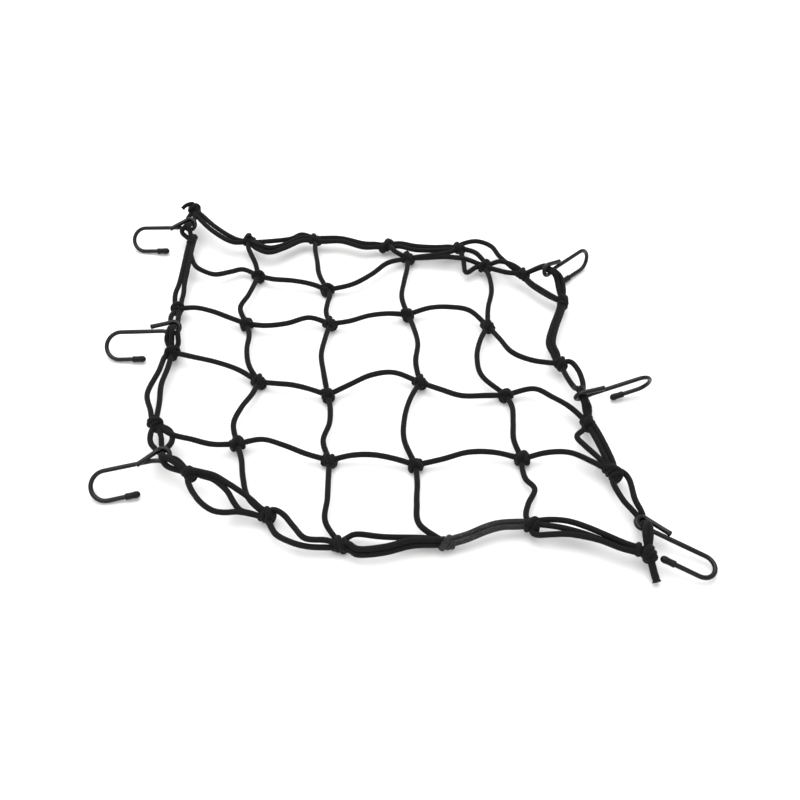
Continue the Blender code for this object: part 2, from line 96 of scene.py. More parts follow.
# %% Knots, hooks and cords
# x, y: middle of the knot. lift: from the surface to its underside.
# heading: which way its turns are stacked. ridge: half its height.
Knot = namedtuple("Knot", "x y lift heading turns ridge")
KNOTS = {
    # mesh, from the far side to the near one
    "K11": Knot(-130, 118, 1.0, -45, 2, 6.2),
    "K12": Knot(-58, 98, 0.0, 39, 2, 6.2),
    "K13": Knot(24, 144, 2.0, -25, 2, 6.2),
    "K14": Knot(103, 129, 4.0, 0, 2, 6.2),
    "K21": Knot(-135, 48, 1.0, 30, 2, 6.2),
    "K22": Knot(-53, 47, 2.0, -35, 2, 6.2),
    "K23": Knot(23, 60, 2.0, -80, 2, 6.2),
    "K24": Knot(101, 43, 3.0, -60, 2, 6.2),
    "K31": Knot(-116, -28, 0.0, -35, 2, 6.4),
    "K32": Knot(-51, -45, 1.0, -75, 2, 6.2),
    "K33": Knot(34, -30, 2.0, -45, 2, 6.2),
    "K34": Knot(113, -44, 0.0, 40, 2, 6.2),
    "K41": Knot(-128, -104, 3.0, 20, 2, 6.2),
    "K42": Knot(-46, -120, 0.0, -18, 2, 6.4),
    "K43": Knot(29, -125, 0.0, 15, 2, 6.2),
    "K44": Knot(122, -119, 1.0, 0, 2, 6.2),
    # left border
    "TL": Knot(-206, 210, 14.0, 0, 2, 5.8),
    "L1": Knot(-203, 163, 11.0, 85, 3, 5.0),
    "L2": Knot(-204, 65, 5.5, 80, 2, 6.0),
    "L3": Knot(-201, 6, 4.0, 75, 2, 7.0),
    "L4": Knot(-201, -88, 11.0, -45, 2, 6.4),
    # near border
    "B0": Knot(-163, -143, 12.0, -50, 2, 6.2),
    "B1": Knot(-95, -180, 2.5, -25, 2, 6.5),
    "B2": Knot(-33, -207, 0.0, -20, 2, 7.0),
    "B3": Knot(53, -206, 2.0, 10, 2, 6.2),
    "B4": Knot(124, -190, 3.5, -10, 2, 6.5),
    "B5": Knot(214.5, -219.5, 7.0, -75, 2, 6.8),
    "B6": Knot(206.5, -216.5, 9.0, -40, 1, 5.2),
    # far border
    "T1": Knot(-143, 165, 8.5, 0, 2, 5.6),
    "T2": Knot(-74, 170, 5.5, -20, 2, 5.6),
    "T3": Knot(2, 163, 3.0, 30, 3, 5.8),
    "T4": Knot(77, 155, 6.0, -30, 2, 6.0),
    "T5": Knot(140, 110, 10.5, -45, 2, 5.6),
    # right border
    "R1": Knot(177, 73, 7.4, 80, 3, 5.6),
    "R2": Knot(165.5, -11, 7.0, -60, 2, 6.0),
    "R3": Knot(183, -84, 6.5, -70, 2, 6.5),
    "R4": Knot(197, -139, 7.5, -60, 3, 6.5),
}

# x, y, z: where the shank's line starts, over the eye. reach: from there to the far
# side of the bend. width: between the two long sides. tip: where the cap ends.
# leg, leg_side, leg_rise: the short leg's end along the shank, to its side and above it.
Hook = namedtuple("Hook", "x y z heading pitch roll reach width tip leg leg_side leg_rise")
HOOKS = {
    "hook_1": Hook(-206, 176.5, 22.6, 175, -5, -40, 60.4, 24.5, 22, 19, 2.2, 5.4),
    "hook_2": Hook(-201, 25.5, 20.2, 178, -4, -30, 65, 27, 26, 22, -4.6, 0),
    "hook_3": Hook(-187, -128, 19.6, 191, -5, -28, 64.5, 26, 24, 22, 1.8, 5.4),
    "hook_4": Hook(164, 102, 26.3, 43, -2, -102, 60, 22, 19, 17, -4.4, 0),
    "hook_5": Hook(179.3, -58.5, 19.9, 14, 11, -76, 66, 23, 28.5, 21, -4.3, 0),
    "hook_6": Hook(212.9, -194, 15, -26, -8, 178, 65.7, 21, 22.5, 23.2, -3.6, -2.2),
}

# Mesh cords. side_1 to side_3: how far the cord strays to the left of the straight
# line from start to end, at a quarter, a half and three quarters of the way.
MeshCord = namedtuple("MeshCord", "start end side_1 side_2 side_3")
MESH_CORDS = [MeshCord(*row) for row in (
    # across
    ("K11", "K12", -4, -2, 0),
    ("K12", "K13", -9, -7, 1),
    ("K13", "K14", 0, 3, 4),
    ("L2", "K21", 3, 2, 0),
    ("K21", "K22", -6, -4, 5),
    ("K22", "K23", -3, 0, 1),
    ("K23", "K24", 10, 14, 14),
    ("K24", "R2", -10, -19, -15),
    ("L3", "K31", 0, 2, 3),
    ("K31", "K32", -1, 0, 0),
    ("K32", "K33", 6, 13, 13),
    ("K33", "K34", -8, -13, -8),
    ("K34", "R3", 15, 12, 8),
    ("L4", "K41", -9, -10, -9),
    ("K41", "K42", 7, 4, 0),
    ("K42", "K43", 4, 5, 3),
    ("K43", "K44", 2, 7, 6),
    ("K44", "R4", 8, 11, 6),
    # along
    ("T1", "K11", -3, -2, 0),
    ("T2", "K12", -3, -4, -5),
    ("T3", "K13", -2, -5, -4),
    ("T4", "K13", 7, 8, 5),
    ("K11", "K21", -1, -4, -9),
    ("K12", "K22", 2, -1, -3),
    ("K13", "K23", -1, -4, -6),
    ("K14", "K24", 4, 5, 1),
    ("K21", "K31", 0, -5, -6),
    ("K22", "K32", -4, -7, -4),
    ("K23", "K33", 3, 4, -1),
    ("K24", "K34", -12, -19, -18),
    ("K31", "K41", -1, -6, -8),
    ("K32", "K42", 2, 1, -5),
    ("K33", "K43", -8, -12, -11),
    ("K34", "K44", 2, -1, -4),
    ("K41", "B1", -2, -7, -9),
    ("K42", "B2", -3, -6, -10),
    ("K43", "B3", -5, -12, -16),
)]

# Border cords between two knots, as (along, side, rise): the share of the way, how far
# to the left of the straight line, and how far above it.
BorderCord = namedtuple("BorderCord", "start end stops")
BORDER_CORDS = [BorderCord(*row) for row in (
    # left
    ("L1", "L2", ((0.21, -2.3, 0), (0.49, -2.4, 0), (0.68, -3.2, 0), (0.80, -5, 0),
                  (0.90, -4.5, 0))),
    ("L1", "L2", ((0.21, 2.3, 0), (0.49, 2.4, 0), (0.68, 2.2, 0), (0.80, 3, 0), (0.90, 2.4, 0))),
    ("L3", "L4", ((0.09, -6, 0), (0.30, -7.5, 0), (0.62, -12.8, 0), (0.84, -6.5, 0))),
    ("L3", "L4", ((0.25, 0, 0), (0.50, -2, 0), (0.75, 0, 0))),
    # near
    ("B0", "B1", ((0.06, -8, 0), (0.17, -14, 0), (0.33, -19.5, 0), (0.49, -21, 0),
                  (0.61, -17.5, 0), (0.73, -10.5, 0), (0.88, -5.3, 0))),
    ("B0", "B1", ((0.15, 5, 3), (0.28, 7, 3), (0.45, 6.2, 3), (0.60, 5.3, 3), (0.76, 4, 3),
                  (0.91, 1.6, 3))),
    ("B0", "B1", ((0.14, 2.8, 0), (0.26, 4.5, 0), (0.38, 3.4, 0), (0.50, 0.6, 0),
                  (0.62, -4.8, 0), (0.74, -8.3, 0), (0.86, -5.5, 0))),
    ("B1", "B2", ((0.06, 6, 3), (0.20, 5, 1), (0.40, -3, 2), (0.61, -10, 4), (0.84, -4, 4))),
    ("B1", "B2", ((0.08, -6, 0), (0.24, -14, 0), (0.46, -16, 0), (0.66, -14, 0), (0.86, -8, 0))),
    ("B2", "B3", ((0.06, 6, 0), (0.16, 9, 0), (0.42, 5, 0), (0.83, 4, 0))),
    ("B2", "B3", ((0.09, -6, 0), (0.18, -11, 0), (0.42, -10, 0), (0.67, -4, 0), (0.91, -2.4, 0))),
    ("B2", "B3", ((0.08, -2, 4), (0.18, -8, 4), (0.42, -7, 4), (0.67, -1, 4), (0.91, 0, 4))),
    ("B3", "B4", ((0.09, 2.4, 0), (0.26, 3, 0), (0.47, 6, 0), (0.65, 7, 0), (0.88, 5, 0))),
    ("B3", "B4", ((0.07, -2.4, 0), (0.25, -2, 0), (0.48, 1, 0), (0.66, 2, 0), (0.86, 0, 0))),
    ("B4", "B6", ((0.05, 5.7, 0), (0.17, 9, 0), (0.32, 10.5, 0), (0.48, 9, 0), (0.68, 5, 1),
                  (0.88, 2, 1))),
    ("B4", "B6", ((0.08, 1.4, 1), (0.23, 2.9, 0), (0.39, 3.1, -1), (0.55, 3.3, -3),
                  (0.82, 0.4, -3))),
    ("B4", "B6", ((0.03, -7.6, 0), (0.09, -8.4, 0), (0.20, -5.6, 0), (0.34, -2.3, 0),
                  (0.51, -1, 0), (0.66, -1.1, 0), (0.84, -3, 0))),
    # far
    ("TL", "T1", ((0.13, -2, 0), (0.49, -8.5, 0), (0.82, -8.5, 0))),
    ("TL", "T1", ((0.17, -8, 0), (0.51, -15, 0), (0.84, -14, 0))),
    ("T1", "T2", ((0.29, -4, 0), (0.62, -1, 0), (0.80, 7, 0))),
    ("T1", "T2", ((0.12, -14, 0), (0.31, -22, 0), (0.53, -16, 0), (0.80, -3, 0))),
    ("T1", "T2", ((0.12, -10, 3), (0.32, -17, 2), (0.54, -10, 0), (0.80, 2, 0))),
    ("T2", "T3", ((0.10, 3, 0), (0.36, 3, 0), (0.67, -2, 0), (0.85, 0, 0))),
    ("T2", "T3", ((0.11, -3, 0), (0.37, -2, 0), (0.67, -8, 0), (0.85, -5, 0))),
    ("T3", "T4", ((0.18, 3, 0), (0.41, -2, 0), (0.68, -2, 0), (0.87, 1, 0))),
    ("T3", "T4", ((0.18, -2, 0), (0.41, -8, 0), (0.69, -7, 0), (0.88, -3.6, 0))),
    ("T4", "K14", ((0.19, 3, 0), (0.56, 4, 2))),
    ("K14", "T5", ((0.13, 5, 0), (0.32, 10, 0), (0.69, 8, 0))),
    ("K14", "T5", ((0.19, -3, 0), (0.60, -5, 0), (0.86, -2, 0))),
    # right
    ("R1", "R2", ((0.17, -4, 0), (0.51, -10, 0), (0.73, -12, 0), (0.88, -7, 0))),
    ("R1", "R2", ((0.16, 0, 0), (0.47, -5.2, 0), (0.72, -7.4, 0), (0.88, -2.4, 0))),
    ("R3", "R4", ((0.11, -7, 0), (0.23, -16, 0), (0.45, -13, 0), (0.74, -6, 0))),
    ("R3", "R4", ((0.17, -1, 0), (0.44, -1, 0), (0.75, -1, 0))),
    ("R3", "R4", ((0.14, 3, 2), (0.42, 4, 0), (0.80, 4, 0))),
)]

# Cords with a route of their own, by the piece that they belong to. A stop is a knot, a
# place (x, y, z), or a pass through a hook's eye (hook, how far to the left of the eye's
# middle, how far above it).
LONG_CORDS = {
    "border_left": (
        ("TL", (-211, 196, 19), ("hook_1", -0.9, 0), (-213.5, 170, 21.5), "L1"),
        ("TL", (-204, 196, 20), ("hook_1", 0.9, 0), (-204, 167, 22), "L1"),
        ("L2", (-208, 51, 15), (-206.5, 40, 15), ("hook_2", -0.9, 0), (-206.5, 16, 17), "L3"),
        ("L2", (-201, 51, 15), (-200.5, 40, 15), ("hook_2", 0.8, 0), (-201.5, 14, 19), "L3"),
        ((-196, 20.5, 24), (-195.5, 16.5, 21), (-195.5, 11.5, 16), "L3"),
        ("L4", (-203, -99, 18), (-201.5, -109, 16), ("hook_3", -0.6, -0.2), (-182, -137, 20), "B0"),
        ("L4", (-194, -101, 18), (-192, -111, 16), ("hook_3", 0.3, -0.2), (-174.5, -131.5, 22),
         "B0"),
        ("L4", (-189, -94, 18), (-184, -101, 18), (-184, -109.5, 17), ("hook_3", 0, 0.4),
         (-178, -134.5, 25), "B0"),
    ),
    "mesh_cord_kinked_far": (
        ((-203, 147, 15), (-197, 130, 14), (-190, 122, 13), (-174, 115, 12), (-159, 121, 10),
         (-146, 127, 8), "K11"),
    ),
    "mesh_cord_kinked_near": (
        ("K44", (121, -128, 8), (123, -141, 8), (130, -152, 8), (123, -168, 9), (120, -181, 10),
         "B4"),
    ),
    "border_far": (
        ("T4", (81, 139, 12), (83, 119, 11), (94, 128, 10), "K14"),
        ("T4", (80, 162, 12), (96, 167, 12), (111, 159, 12), (120, 141, 12), (139, 114, 12),
         (149, 98, 12), (164, 83, 12), "R1"),
    ),
    "border_right": (
        ("T5", (149, 96, 16), (164, 81, 16), "R1"),
        ("T5", ("hook_4", 0.9, 0), (176.5, 96.5, 24), (178.5, 85, 18), "R1"),
        ("T5", ("hook_4", -0.9, 0), (172, 94.5, 24), (174, 84, 18), "R1"),
        ("R2", (170.2, -29, 14), (175, -42, 15), ("hook_5", -0.9, 0), (181, -71, 18), "R3"),
        ("R2", (175, -9, 14), (181, -20, 15), (183.5, -33, 15), (183, -44, 15.5),
         ("hook_5", 0.9, 0), (185, -71, 18), "R3"),
        ("R4", (196, -150, 14), (202, -166.5, 13), (208, -175.5, 12), (212.5, -181.5, 10),
         ("hook_6", -0.3, 0), (212.5, -205, 22.5), "B5"),
        ("R4", (204, -137, 14), (210, -146, 14), (212, -165.5, 13), (215.5, -176.5, 12),
         (217, -182, 9.2), ("hook_6", 0.2, 0), (217, -205, 22.5), "B5"),
    ),
}
CUT_ENDS = {
    "cut_end_far_left": ("TL", (-207, 213, 25), (-211, 211.6, 26), (-215, 209, 25.5),
                         (-217.6, 206.5, 24)),
    "cut_end_far_border": ("T1", (-143, 166, 22)),
    "tail_near_right": ("B5", (217, -227, 9), (218, -233, 7), (219.5, -240, 4.6)),
}

print(len(KNOTS), "knots,", len(HOOKS), "hooks and", len(MESH_CORDS) + len(BORDER_CORDS)
      + sum(map(len, LONG_CORDS.values())) + len(CUT_ENDS), "lengths of cord")

# %% [markdown]
# ## From a list of stops to a cord's route
#
# A cord bends in one smooth line from stop to stop. A Catmull-Rom curve passes through
# every stop, so what is written down is what is seen. It is then cut into even steps,
# because rings that bunch up would show as creases. A Bezier curve object would do as
# well, but its handles are harder to keep in line with the CAD.

# %% Smooth routes
FINE_PIECES = 24          # between two stops, before it is cut anew
ROUNDING = 1e-6


def smooth_route(points, step):
    """Evenly spaced points, no further apart than step, on one smooth curve."""
    ends = [2 * points[0] - points[1], *points, 2 * points[-1] - points[-2]]
    fine = []
    for before, start, end, after in zip(ends, ends[1:], ends[2:], ends[3:]):
        for piece in range(FINE_PIECES):
            t = piece / FINE_PIECES
            fine.append(0.5 * (2 * start + (end - before) * t
                               + (2 * before - 5 * start + 4 * end - after) * t ** 2
                               + (3 * start - 3 * end + after - before) * t ** 3))
    fine.append(points[-1])
    travelled = [0.0]
    for start, end in zip(fine, fine[1:]):
        travelled.append(travelled[-1] + (end - start).length)
    rings = max(2, math.ceil(travelled[-1] / step))
    route, index = [], 1
    for ring in range(rings + 1):
        wanted = travelled[-1] * ring / rings
        while travelled[index] < wanted - ROUNDING:
            index += 1
        share = (wanted - travelled[index - 1]) / (travelled[index] - travelled[index - 1])
        route.append(fine[index - 1].lerp(fine[index], share))
    return route


def place(name):
    """The middle of a knot."""
    knot = KNOTS[name]
    return Vector((knot.x, knot.y, knot.lift + knot.ridge))


# %% [markdown]
# Most cords run from one knot to the next. They stray a little to one side and arch over
# the table, because the cord is stiff enough to hold itself up.

# %% Cords between two knots
def route_between(cord, stops, crest, lane):
    """A route from knot to knot by stops of (along, side, rise), in an arch crest high."""
    start, end = place(cord.start), place(cord.end)
    left = Vector((start.y - end.y, end.x - start.x, 0.0)).normalized()

    def stop_place(along, side, rise):
        arch = crest * 4 * along * (1 - along)
        return start.lerp(end, along) + left * side + Vector((0, 0, rise + arch))

    first, last = (max(-lane, min(lane, stops[i][1])) for i in (0, -1))
    places = [stop_place(0, first, stops[0][2]), *(stop_place(*stop) for stop in stops),
              stop_place(1, last, stops[-1][2])]
    return smooth_route(places, CORD_STEP)


def mesh_route(cord):
    stops = ((0.25, cord.side_1, 0), (0.50, cord.side_2, 0), (0.75, cord.side_3, 0))
    return route_between(cord, stops, MESH_CREST, 0)


def border_route(cord):
    return route_between(cord, cord.stops, BORDER_CREST, KNOT_LANE)


# %% [markdown]
# The border also runs through the eye of each hook. A hook is laid out in its own plane:
# u along the shank and v towards the tip. A cord passes the eye aslant, under its far
# side and over its near one, as it does on the real net.

# %% Cords through a hook's eye
def hook_axes(hook):
    """Along the shank, towards the tip's side, and straight out of the hook's plane."""
    heading, pitch, roll = (math.radians(angle) for angle in (hook.heading, hook.pitch, hook.roll))
    along = Vector((math.cos(pitch) * math.cos(heading), math.cos(pitch) * math.sin(heading),
                    math.sin(pitch)))
    level = Vector((-math.sin(heading), math.cos(heading), 0.0))
    upright = along.cross(level)
    across = math.cos(roll) * level + math.sin(roll) * upright
    return along, across, along.cross(across)


def hook_place(hook, u, v, rise=0.0):
    """A place in a hook's own plane, or so far above it."""
    along, across, normal = hook_axes(hook)
    return Vector((hook.x, hook.y, hook.z)) + along * u + across * v + normal * rise


def eye_pass(hook_name, side, rise, heading_to):
    """Three places straight through a hook's eye, aslant to its plane."""
    hook = HOOKS[hook_name]
    normal = hook_axes(hook)[2]
    level = Vector((heading_to.x, heading_to.y, 0.0)).normalized()
    if normal.dot(level + Vector((0, 0, 1))) < 0:
        normal = -normal
    onward = (normal * EYE_STEEPNESS + level).normalized()
    left = normal.cross(level).normalized()
    if left.dot(Vector((-level.y, level.x, 0.0))) < 0:
        left = -left
    middle = (hook_place(hook, EYE_SLIDE, -EYE_DROP) + left * side * EYE_SPREAD
              + onward.cross(left) * rise)
    return [middle + onward * EYE_PASS * share for share in (-1, 0, 1)]


def long_route(stops, step=CORD_STEP):
    """The route of a cord that names its own stops."""
    named = [place(stop) for stop in stops if isinstance(stop, str)]
    heading_to = named[-1] - named[0]
    route = []
    for stop in stops:
        if isinstance(stop, str):
            route.append(place(stop))
        elif isinstance(stop[0], str):
            route += eye_pass(*stop, heading_to)
        else:
            route.append(Vector(stop))
    return smooth_route(route, step)


# %% [markdown]
# ## A cord's skin
#
# A cord is swept: one ring of points is carried along the route and joined to the next.
# The ring is turned as little as possible on its way, so the braid doesn't twist. Each
# corner also gets a place on the unrolled skin, which is how the braid pattern knows
# where it is: u once round the cord, v along it, counted in girths. Blender's own curve
# bevel would make the same tube, but not this even unrolled skin.

# %% Sweeping a ring along a route
SKIN = "skin"             # name of the unrolled skin's map
END_RINGS = (72, 48, 24)  # degrees, where a rounded end has its rings


def turned_along(route):
    """A direction along, and two across, for each point of the route, without twist."""
    last = len(route) - 1
    ahead = [(route[min(i + 1, last)] - route[max(i - 1, 0)]).normalized()
             for i in range(last + 1)]
    side = ahead[0].orthogonal().normalized()
    frames = []
    for direction in ahead:
        side = (side - direction * side.dot(direction)).normalized()
        frames.append((direction, side, direction.cross(side)))
    return frames


def ring_corner(middle, side, up, angle, radius):
    """A corner of a ring, in metres from the middle of the whole outline."""
    return (middle + (side * math.cos(angle) + up * math.sin(angle)) * radius - MIDDLE) * MM


def sweep(body, route, radii, sides, end_length=1.0):
    """Adds a round bar along the route to the mesh, with its two ends rounded."""
    rings = list(zip(route, radii, turned_along(route)))
    ends = []
    for sign, (point, radius, pose) in ((-1, rings[0]), (1, rings[-1])):
        outwards = pose[0] * sign * radius * end_length
        ends.append([(point + outwards * math.sin(a), radius * math.cos(a), pose)
                     for a in map(math.radians, END_RINGS)])
    rings = [*ends[0], *rings, *reversed(ends[1])]
    skin = body.loops.layers.uv.verify()
    girth = math.tau * max(radii)
    before, travelled, middle = None, 0.0, None
    for point, radius, (_, side, up) in rings:
        loop = [body.verts.new(ring_corner(point, side, up, math.tau * step / sides, radius))
                for step in range(sides)]
        if before:
            onward = travelled + (point - middle).length / girth
            for step in range(sides):
                following = (step + 1) % sides
                face = body.faces.new((before[step], before[following],
                                       loop[following], loop[step]))
                corners = ((step, travelled), (step + 1, travelled),
                           (step + 1, onward), (step, onward))
                for corner, (u, v) in zip(face.loops, corners):
                    corner[skin].uv = (u / sides, v)
            travelled = onward
        else:
            body.faces.new(reversed(loop))
        before, middle = loop, point
    body.faces.new(before)


# %% [markdown]
# Elastic cord is never quite even: it is thicker where it is slack and thinner where it
# is pulled. Smooth noise along the route gives each cord its own small swellings, the
# same in every run, because nothing is drawn at random. In a hook's eye two cords are
# squeezed side by side, so each of them is thinner there.

# %% Uneven thickness
eye_middles = [hook_place(hook, 0.0, -EYE_DROP) for hook in HOOKS.values()]


def thickness(route, seed, radius=CORD_RADIUS):
    """The cord's radius at each point of its route."""
    travelled, radii = 0.0, []
    for i, point in enumerate(route):
        travelled += (point - route[i - 1]).length if i else 0.0
        wave = noise.noise(Vector((travelled / THICKNESS_REACH, seed * SEED_APART, 0.0)))
        radii.append(radius * (1 + THICKNESS_CHANGE * wave))
    return radii


def squeezed(route, radii):
    """The same radii, smaller where the cord is in a hook's eye."""
    nearest = [min((point - eye).length for eye in eye_middles) for point in route]
    return [radius * (1 - EYE_SQUEEZE * math.exp(-(away / EYE_SQUEEZE_REACH) ** 2))
            for radius, away in zip(radii, nearest)]


# %% [markdown]
# Each family of cords becomes one object, so that a maker can select the whole far border
# at once. It rides on the part's one body.

# %% Making a piece
def finished_piece(name, body, finish):
    bmesh.ops.recalc_face_normals(body, faces=body.faces)
    mesh = bpy.data.meshes.new(name)
    body.to_mesh(mesh)
    body.free()
    mesh.uv_layers[0].name = SKIN
    mesh.shade_smooth()
    mesh.materials.append(finish)
    piece = bpy.data.objects.new(name, mesh)
    bpy.context.scene.collection.objects.link(piece)
    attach(piece, "root")
    return piece


# %% [markdown]
# ## The braided sheath
#
# The cord's sleeve is braided from black yarn: eight strands wind to the left and eight
# to the right, and each passes over one and under the next. That is a pattern on the
# unrolled skin. Counting the strands one way gives a, and the other way b; where the
# whole parts of a and b add up to an even number the first strand lies on top, and
# otherwise the second. Each strand is round across and dips where it goes under. One
# node group makes this for every cord finish.

# %% Node group for the braid
STRAND_FLATNESS = 0.6     # 1 would be a sine across, and less is flatter
STRAND_DIP = 0.45         # how deep a strand dips, as a share of its height
FIBRES = 40               # once round the cord


def math_node(tree, operation, *values):
    """A Math node with values or other nodes' outputs for its inputs."""
    node = tree.nodes.new("ShaderNodeMath")
    node.operation = operation
    for socket, value in zip(node.inputs, values):
        if isinstance(value, bpy.types.NodeSocket):
            tree.links.new(value, socket)
        else:
            socket.default_value = value
    return node.outputs[0]


def either(tree, share, first, second):
    """The first value, or the second where share is 1."""
    node = tree.nodes.new("ShaderNodeMix")
    node.data_type = "FLOAT"
    for number, value in ((0, share), (2, first), (3, second)):
        tree.links.new(value, node.inputs[number])
    return node.outputs[0]


def group_sockets(group, inputs, outputs):
    """A node group's new sockets, as they are seen from inside."""
    for name, kind, value in inputs:
        socket = group.interface.new_socket(name, in_out="INPUT", socket_type=kind)
        if value is not None:
            socket.default_value = value
    for name in outputs:
        group.interface.new_socket(name, in_out="OUTPUT", socket_type="NodeSocketFloat")
    return group.nodes.new("NodeGroupInput").outputs, group.nodes.new("NodeGroupOutput").inputs


def braid_group():
    group = bpy.data.node_groups.new("Braided sheath", "ShaderNodeTree")
    given, result = group_sockets(
        group, (("Skin", "NodeSocketVector", None), ("Strands each way", "NodeSocketFloat", 8.0),
                ("Slant", "NodeSocketFloat", 0.8)), ("Height", "Yarn", "Fleck"))
    apart = group.nodes.new("ShaderNodeSeparateXYZ")
    group.links.new(given["Skin"], apart.inputs[0])
    around = apart.outputs["X"]
    onward = math_node(group, "MULTIPLY", apart.outputs["Y"], given["Slant"])
    counts, bulges = [], []
    for way in ("ADD", "SUBTRACT"):
        turn = math_node(group, way, around, onward)
        count = math_node(group, "MULTIPLY", turn, given["Strands each way"])
        counts.append(math_node(group, "FLOOR", count))
        part = math_node(group, "FRACT", count)
        bulges.append(math_node(group, "SINE", math_node(group, "MULTIPLY", part, math.pi)))
    both = math_node(group, "ADD", *counts)
    second_on_top = math_node(group, "ABSOLUTE", math_node(group, "MODULO", both, 2.0))
    height = []
    for across, lengthwise in (bulges, reversed(bulges)):
        round_across = math_node(group, "POWER", across, STRAND_FLATNESS)
        dip = math_node(group, "MULTIPLY_ADD", lengthwise, STRAND_DIP, 1 - STRAND_DIP)
        height.append(math_node(group, "MULTIPLY", round_across, dip))
    group.links.new(either(group, second_on_top, *height), result["Height"])

    yarns = []
    for way in ("SUBTRACT", "ADD"):
        turn = math_node(group, way, around, onward)
        wave = math_node(group, "SINE", math_node(group, "MULTIPLY", turn, math.tau * FIBRES))
        yarns.append(math_node(group, "MULTIPLY_ADD", wave, 0.5, 0.5))
    group.links.new(either(group, second_on_top, *yarns), result["Yarn"])

    cell = group.nodes.new("ShaderNodeCombineXYZ")
    group.links.new(counts[0], cell.inputs[0])
    group.links.new(counts[1], cell.inputs[1])
    chance = group.nodes.new("ShaderNodeTexWhiteNoise")
    chance.noise_dimensions = "2D"
    group.links.new(cell.outputs[0], chance.inputs["Vector"])
    group.links.new(chance.outputs["Value"], result["Fleck"])
    return group


braid = braid_group()
print("the braid's group has", len(braid.nodes), "nodes")

# %% [markdown]
# A black sleeve is a dark grey one when it is looked at closely: the crests catch light and
# the hollows lie in shade, and that shade is painted, as a darker colour in the hollows. A
# few strands have faded more than others. A soft sheen at the rim stands for the fuzz of
# the yarn. The sheen is the same everywhere, so it is set on the shader itself.

# %% Cord finishes
FADE_SCALE = 26.0         # of the noise that fades the cord
FADE_FROM = 0.62          # its value where a patch starts
FADE_TO = 0.80            # and where it is whole
YARN_ROUGHNESS = 0.62     # between two fibres
FIBRE_ROUGHNESS = 0.18    # how much rougher a fibre is
YARN_RELIEF = 0.05
BRAID_RELIEF = 0.32


def mixed_colour(tree, share, first, second):
    """A colour between two others."""
    node = tree.nodes.new("ShaderNodeMix")
    node.data_type = "RGBA"
    tree.links.new(share, node.inputs[0])
    for socket, value in ((node.inputs[6], first), (node.inputs[7], second)):
        if isinstance(value, bpy.types.NodeSocket):
            tree.links.new(value, socket)
        else:
            socket.default_value = (*value, 1.0)
    return node.outputs[2]


def spread(tree, value, low, high):
    """Stretches what lies between low and high over 0 to 1."""
    node = tree.nodes.new("ShaderNodeMapRange")
    tree.links.new(value, node.inputs["Value"])
    node.inputs["From Min"].default_value, node.inputs["From Max"].default_value = low, high
    return node.outputs["Result"]


def place_noise(tree, scale):
    """Smooth noise over the object's own space, in metres."""
    where = tree.nodes.new("ShaderNodeTexCoord")
    node = tree.nodes.new("ShaderNodeTexNoise")
    node.inputs["Scale"].default_value = scale
    node.inputs["Detail"].default_value = 3.0
    tree.links.new(where.outputs["Object"], node.inputs["Vector"])
    return node.outputs[0]


def bump(tree, height, distance, strength, below=None):
    """A relief, distance millimetres high, which may lie on another one."""
    node = tree.nodes.new("ShaderNodeBump")
    node.inputs["Strength"].default_value = strength
    node.inputs["Distance"].default_value = distance * MM
    tree.links.new(height, node.inputs["Height"])
    if below:
        tree.links.new(below, node.inputs["Normal"])
    return node.outputs[0]


def cord_finish(name, hollow_shade, crest, faded, fade_share):
    """Braided yarn: colours for its crests, painted shade for its hollows, and its fading."""
    finish = bpy.data.materials.new(name)
    finish.use_nodes = True
    tree = finish.node_tree
    shader = tree.nodes["Principled BSDF"]
    skin = tree.nodes.new("ShaderNodeUVMap")
    skin.uv_map = SKIN
    weave = tree.nodes.new("ShaderNodeGroup")
    weave.node_tree = braid
    tree.links.new(skin.outputs[0], weave.inputs["Skin"])
    fade = spread(tree, place_noise(tree, FADE_SCALE), FADE_FROM - fade_share, FADE_TO - fade_share)
    strand = spread(tree, weave.outputs["Fleck"], 0.3, 1.0)
    faded_strand = math_node(tree, "MULTIPLY", fade, strand)
    worn = math_node(tree, "MULTIPLY", faded_strand, weave.outputs["Height"])
    # painted shade: the braid's hollows get a darker colour than its crests, by the braid's height
    colour = mixed_colour(tree, spread(tree, weave.outputs["Height"], 0.25, 0.85), hollow_shade, crest)
    tree.links.new(mixed_colour(tree, worn, colour, faded), shader.inputs["Base Color"])
    rough = math_node(tree, "MULTIPLY_ADD", weave.outputs["Yarn"], FIBRE_ROUGHNESS, YARN_ROUGHNESS)
    tree.links.new(rough, shader.inputs["Roughness"])
    yarn_bump = bump(tree, weave.outputs["Yarn"], YARN_RELIEF, 0.5)
    braid_bump = bump(tree, weave.outputs["Height"], BRAID_RELIEF, 0.9, yarn_bump)
    tree.links.new(braid_bump, shader.inputs["Normal"])
    shader.inputs["Sheen Weight"].default_value = 0.03
    shader.inputs["Sheen Roughness"].default_value = 0.45
    shader.inputs["Specular IOR Level"].default_value = 0.12
    return finish


# the darkest colour of each finish is painted shade in the braid's hollows
cord_black = cord_finish(
    "cord_black", hollow_shade=(0.002, 0.002, 0.0022), crest=(0.0075, 0.0075, 0.0075),
    faded=(0.020, 0.020, 0.019), fade_share=0.0)
cord_faded = cord_finish(
    "cord_faded", hollow_shade=(0.008, 0.008, 0.008), crest=(0.028, 0.028, 0.028),
    faded=(0.060, 0.060, 0.059), fade_share=0.25)

# %% [markdown]
# ## The cords
#
# Mesh cords first, those across and those along, then the border, side by side. The
# loops through the hooks' eyes belong to the border that they leave.

# %% Mesh cords
MESH_ACROSS = 18          # the first rows of the table run across
# seed for the thickness of the first cord of each kind
ACROSS_SEED, ALONG_SEED, BORDER_SEED, CUT_SEED, WIRE_SEED = 1, 31, 61, 201, 301
BORDER_SEEDS = 20         # kept for each piece of the border


